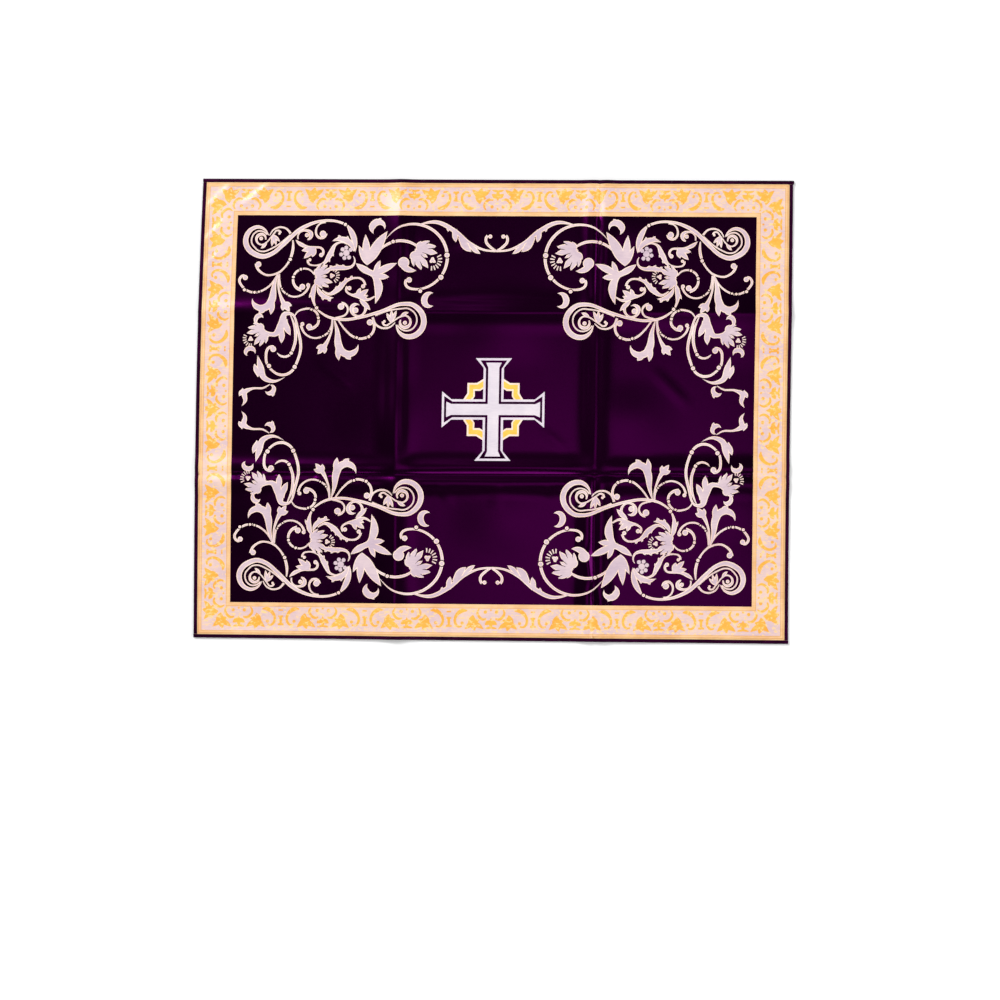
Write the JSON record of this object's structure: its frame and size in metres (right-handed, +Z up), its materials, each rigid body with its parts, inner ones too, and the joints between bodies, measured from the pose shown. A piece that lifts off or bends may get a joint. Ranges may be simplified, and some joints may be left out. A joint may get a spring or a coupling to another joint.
{
  "type": "rectangular altar cloth",
  "caption": "Rectangular liturgical aer lying flat: patterned satin panel with a woven border and a bound edge, with soft storage creases.",
  "frame": {"origin": "middle of the cloth's outline, on the surface it lies on", "axes": "+X to the right along the long side, +Y towards the top edge, +Z up, the right side of the cloth facing up"},
  "size_m": [0.6616, 0.5129, 0.0079],
  "materials": {
    "brocade": "woven satin, dark purple field with pale scrollwork and a gold and lilac border",
    "binding": "dark purple binding cloth, low sheen"
  },
  "bodies": {
    "root": {"panel": "brocade", "binding_top": "binding", "binding_bottom": "binding", "binding_left": "binding", "binding_right": "binding"}
  },
  "joints": []
}
